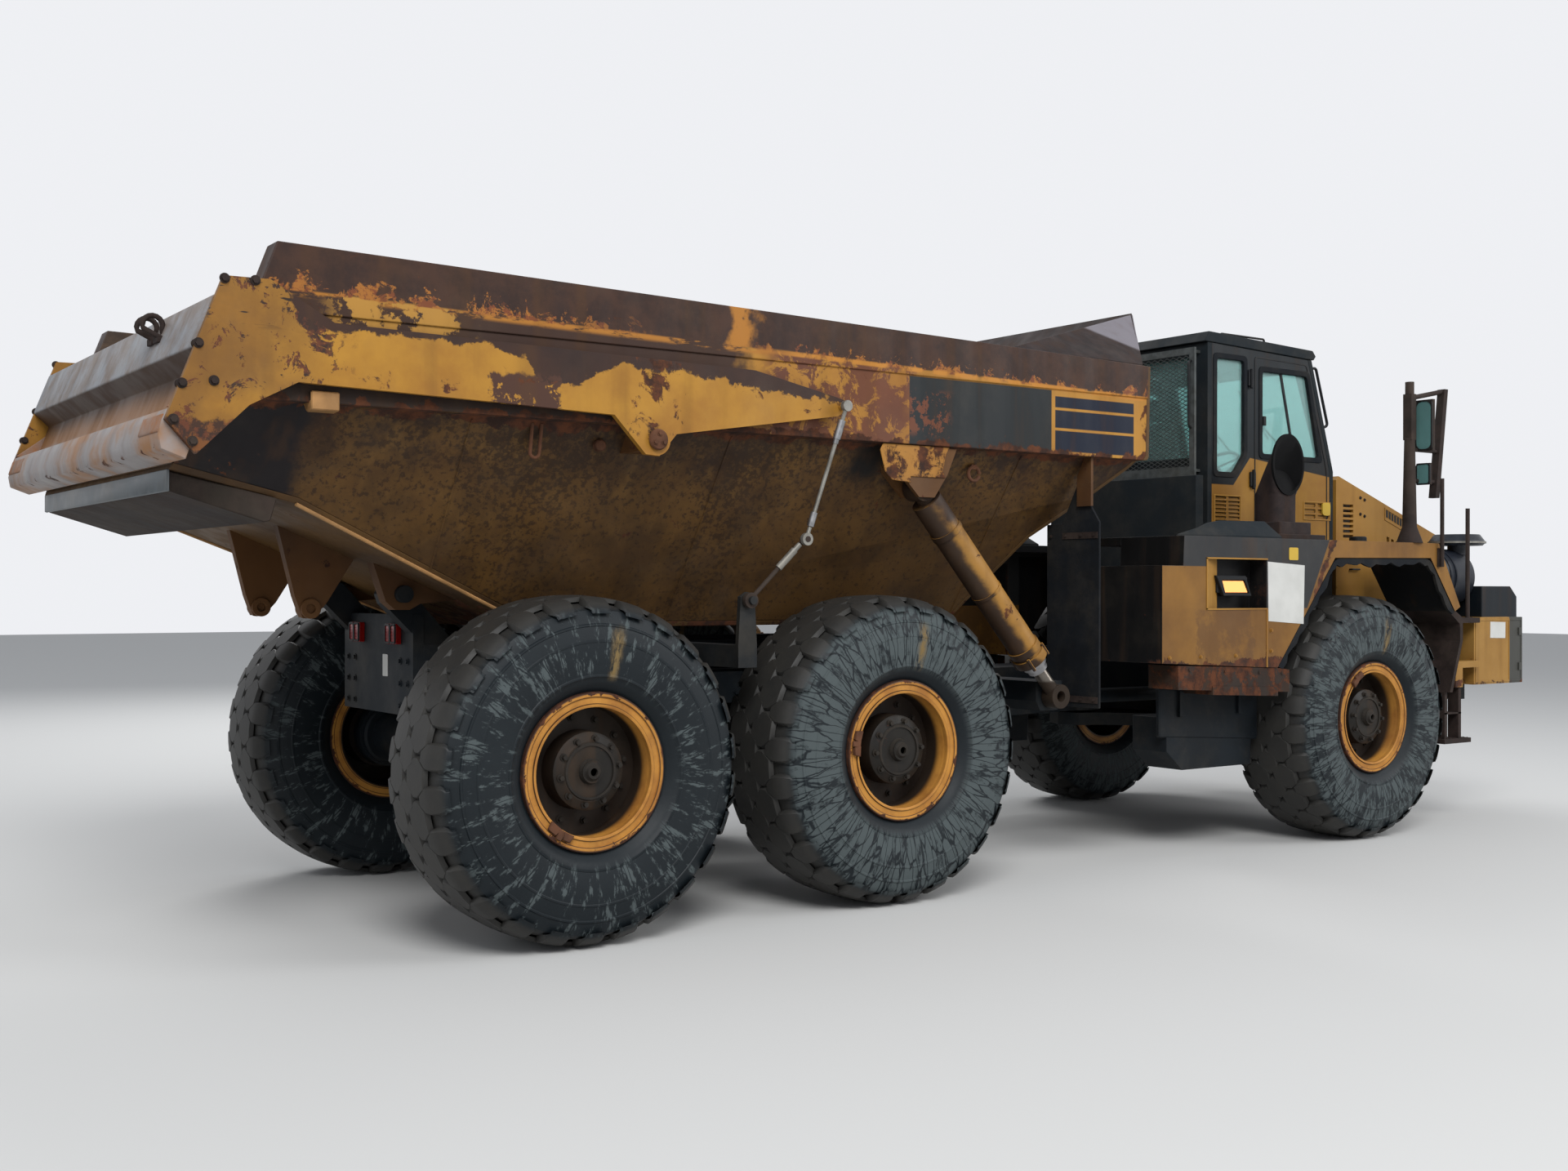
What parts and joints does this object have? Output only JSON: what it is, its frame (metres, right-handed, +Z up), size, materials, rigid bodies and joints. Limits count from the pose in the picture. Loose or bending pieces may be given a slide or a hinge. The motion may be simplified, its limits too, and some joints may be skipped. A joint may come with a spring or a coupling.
{
  "type": "articulated dump truck",
  "caption": "Articulated six-wheel dump truck with a tipping bed, overhead tailgate, steering joint between its frames, centre cab and sloping hood.",
  "frame": {"origin": "midway between the two ends of the truck, on the ground, on its centre plane", "axes": "+X forward, +Y left, +Z up"},
  "size_m": [10.65, 3.44, 3.6854],
  "materials": {
    "chassis_black": "dull navy-black chassis paint with rust and dust",
    "bed_yellow": "worn ochre yellow paint, rusted along its edges",
    "cab_yellow": "yellow paint with rusted edges and dirt",
    "cab_slate": "slate-black paint, faintly dusty",
    "rusty_steel": "brown rusted steel",
    "bare_steel": "dull wire rope and shackles",
    "chrome": "polished cylinder rod with a film of dust",
    "rim_orange": "orange-yellow rim paint with rust",
    "tyre": "worn dark rubber with a dry mud film",
    "rubber": "matt black rubber sheet",
    "glass": "teal tinted safety glass",
    "lamp_clear": "clear lamp lens",
    "lamp_red": "red lamp lens",
    "seat_cloth": "dark grey seat cloth",
    "engine_grey": "grey painted engine"
  },
  "bodies": {
    "rear_chassis": {"rear_frame": "chassis_black", "bogie": "chassis_black", "tail_lamps": "lamp_red"},
    "rear_right_wheel": {"rear_right_tyre": "tyre", "rear_right_rim": "rim_orange"},
    "rear_left_wheel": {"rear_left_tyre": "tyre", "rear_left_rim": "rim_orange"},
    "middle_right_wheel": {"middle_right_tyre": "tyre", "middle_right_rim": "rim_orange"},
    "middle_left_wheel": {"middle_left_tyre": "tyre", "middle_left_rim": "rim_orange"},
    "front_right_wheel": {"front_right_tyre": "tyre", "front_right_rim": "rim_orange"},
    "front_left_wheel": {"front_left_tyre": "tyre", "front_left_rim": "rim_orange"},
    "bed": {"bed_floor": "bed_yellow", "bed_front": "bed_yellow", "bed_left_side": "bed_yellow", "bed_right_side": "bed_yellow", "spill_guard": "rusty_steel", "bed_brackets": "rusty_steel", "mud_flaps": "rubber"},
    "tailgate": {"gate_left_arm": "bed_yellow", "gate_right_arm": "bed_yellow", "gate_panel": "bed_yellow"},
    "rope_foot": {"rope_foot_links": "rusty_steel"},
    "rope_head": {"rope_head_links": "bare_steel"},
    "hoist_barrel": {"hoist_barrels": "bed_yellow"},
    "hoist_first": {"hoist_stage_1": "chrome"},
    "hoist_second": {"hoist_stage_2": "chrome"},
    "hoist_rod": {"hoist_rods": "chrome"},
    "front_chassis": {"front_frame": "chassis_black", "front_axle": "chassis_black", "corner_boxes": "cab_yellow", "left_fender": "cab_yellow", "right_fender": "cab_yellow", "belly_tanks": "chassis_black", "lamps": "lamp_clear", "cab_floor": "cab_slate", "cab_roof": "cab_slate", "cab_rear_wall": "cab_slate", "cab_front_wall": "cab_slate", "cab_right_wall": "cab_slate", "cab_left_wall": "cab_slate", "cab_glass": "glass", "cab_seat": "seat_cloth", "cab_rear_guard": "cab_slate", "engine": "engine_grey", "exhaust": "rusty_steel", "air_cleaner": "chassis_black", "mirrors": "rusty_steel", "steps": "chassis_black"},
    "door": {"cab_door": "cab_yellow", "door_glass": "glass"},
    "bonnet": {"hood": "cab_yellow", "grille": "cab_slate"},
    "left_steer_cylinder": {"left_steer_barrel": "bed_yellow"},
    "right_steer_cylinder": {"right_steer_barrel": "bed_yellow"},
    "left_steer_piston": {"left_steer_rod": "chrome"},
    "right_steer_piston": {"right_steer_rod": "chrome"}
  },
  "joints": [
    {"name": "steering", "type": "hinge", "parent": "rear_chassis", "child": "front_chassis", "pos_m": [1.675, 0, 1.07], "axis": [0, 0, 1], "range_deg": [-45, 45]},
    {"name": "rear_right_wheel_spin", "type": "hinge", "parent": "rear_chassis", "child": "rear_right_wheel", "pos_m": [-3.225, -1.295, 0.875], "axis": [0, 1, 0], "continuous": true},
    {"name": "rear_left_wheel_spin", "type": "hinge", "parent": "rear_chassis", "child": "rear_left_wheel", "pos_m": [-3.225, 1.295, 0.875], "axis": [0, 1, 0], "continuous": true},
    {"name": "middle_right_wheel_spin", "type": "hinge", "parent": "rear_chassis", "child": "middle_right_wheel", "pos_m": [-1.255, -1.295, 0.875], "axis": [0, 1, 0], "continuous": true},
    {"name": "middle_left_wheel_spin", "type": "hinge", "parent": "rear_chassis", "child": "middle_left_wheel", "pos_m": [-1.255, 1.295, 0.875], "axis": [0, 1, 0], "continuous": true},
    {"name": "front_right_wheel_spin", "type": "hinge", "parent": "front_chassis", "child": "front_right_wheel", "pos_m": [3.095, -1.295, 0.875], "axis": [0, 1, 0], "continuous": true},
    {"name": "front_left_wheel_spin", "type": "hinge", "parent": "front_chassis", "child": "front_left_wheel", "pos_m": [3.095, 1.295, 0.875], "axis": [0, 1, 0], "continuous": true},
    {"name": "bed_tip", "type": "hinge", "parent": "rear_chassis", "child": "bed", "pos_m": [-3.825, 0, 1.75], "axis": [0, -1, 0], "range_deg": [0, 70]},
    {"name": "tailgate_swing", "type": "hinge", "parent": "bed", "child": "tailgate", "pos_m": [-2.92, 0, 2.526], "axis": [0, -1, 0], "range_deg": [-99.6, 0]},
    {"name": "rope_foot_swing", "type": "hinge", "parent": "rear_chassis", "child": "rope_foot", "pos_m": [-2.225, 0, 1.72], "axis": [0, -1, 0], "range_deg": [0, 90]},
    {"name": "rope_head_swing", "type": "hinge", "parent": "rope_foot", "child": "rope_head", "pos_m": [-1.94, 0, 2.05], "axis": [0, -1, 0], "range_deg": [-28, 0]},
    {"name": "hoist_swing", "type": "hinge", "parent": "bed", "child": "hoist_barrel", "pos_m": [-1.075, 0, 2.36], "axis": [0, -1, 0], "range_deg": [-67, 0]},
    {"name": "hoist_first_slide", "type": "slide", "parent": "hoist_barrel", "child": "hoist_first", "axis": [0.6666, 0, -0.7454], "range_m": [0, 1.078]},
    {"name": "hoist_second_slide", "type": "slide", "parent": "hoist_first", "child": "hoist_second", "axis": [0.6666, 0, -0.7454], "range_m": [0, 1.078]},
    {"name": "hoist_rod_slide", "type": "slide", "parent": "hoist_second", "child": "hoist_rod", "axis": [0.6666, 0, -0.7454], "range_m": [0, 1.078]},
    {"name": "door_swing", "type": "hinge", "parent": "front_chassis", "child": "door", "pos_m": [2.827, 0.765, 2.86], "axis": [0, 0, 1], "range_deg": [0, 85]},
    {"name": "bonnet_tilt", "type": "hinge", "parent": "front_chassis", "child": "bonnet", "pos_m": [5.255, 0, 1.38], "axis": [0, 1, 0], "range_deg": [0, 50]},
    {"name": "left_steer_swing", "type": "hinge", "parent": "front_chassis", "child": "left_steer_cylinder", "pos_m": [2.075, 0.62, 1.04], "axis": [0, 0, 1], "range_deg": [-36, 36]},
    {"name": "left_steer_slide", "type": "slide", "parent": "left_steer_cylinder", "child": "left_steer_piston", "axis": [-0.9984, -0.0561, 0], "range_m": [-0.46, 0.46]},
    {"name": "right_steer_swing", "type": "hinge", "parent": "front_chassis", "child": "right_steer_cylinder", "pos_m": [2.075, -0.62, 1.04], "axis": [0, 0, 1], "range_deg": [-36, 36]},
    {"name": "right_steer_slide", "type": "slide", "parent": "right_steer_cylinder", "child": "right_steer_piston", "axis": [-0.9984, 0.0561, 0], "range_m": [-0.46, 0.46]}
  ],
  "couplings": [
    {"joint": "tailgate_swing", "follows": "bed_tip", "ratio": -1.4214},
    {"joint": "rope_foot_swing", "follows": "bed_tip", "ratio": 1.2782},
    {"joint": "rope_head_swing", "follows": "bed_tip", "ratio": -0.38739},
    {"joint": "hoist_swing", "follows": "bed_tip", "ratio": -0.94609},
    {"joint": "hoist_first_slide", "follows": "bed_tip", "m_per_rad": 0.88016},
    {"joint": "hoist_second_slide", "follows": "bed_tip", "m_per_rad": 0.88016},
    {"joint": "hoist_rod_slide", "follows": "bed_tip", "m_per_rad": 0.88016},
    {"joint": "left_steer_swing", "follows": "steering", "ratio": -0.77629},
    {"joint": "left_steer_slide", "follows": "steering", "m_per_rad": -0.57762},
    {"joint": "right_steer_swing", "follows": "steering", "ratio": -0.77629},
    {"joint": "right_steer_slide", "follows": "steering", "m_per_rad": 0.57762}
  ]
}
